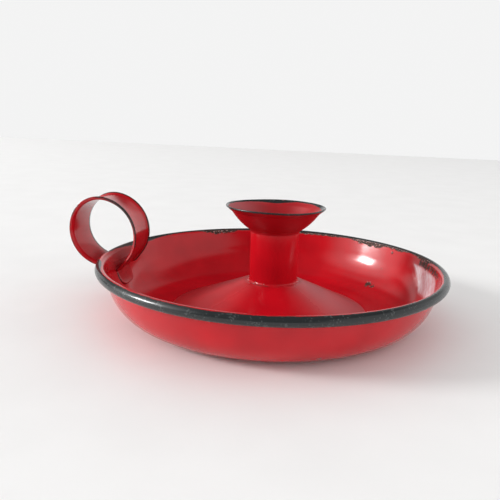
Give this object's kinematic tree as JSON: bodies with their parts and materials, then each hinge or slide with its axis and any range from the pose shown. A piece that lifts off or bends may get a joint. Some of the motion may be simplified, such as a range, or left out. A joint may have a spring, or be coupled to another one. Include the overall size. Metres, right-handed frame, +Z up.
{
  "type": "chamberstick",
  "caption": "Chamberstick: a round enamelled saucer with a raised middle, a candle tube under a flared drip cup, and a finger loop bent from strip for carrying.",
  "frame": {"origin": "centre of the ring on which the pan stands, on the table's plane", "axes": "+Z up along the pan's and the candle's axis; the finger loop stands on the -X side"},
  "size_m": [0.1862, 0.1696, 0.0547],
  "materials": {
    "red_enamel": "gloss enamel"
  },
  "bodies": {
    "root": {"pan": "red_enamel", "candle_tube": "red_enamel", "drip_cup": "red_enamel", "finger_loop": "red_enamel"}
  },
  "joints": []
}
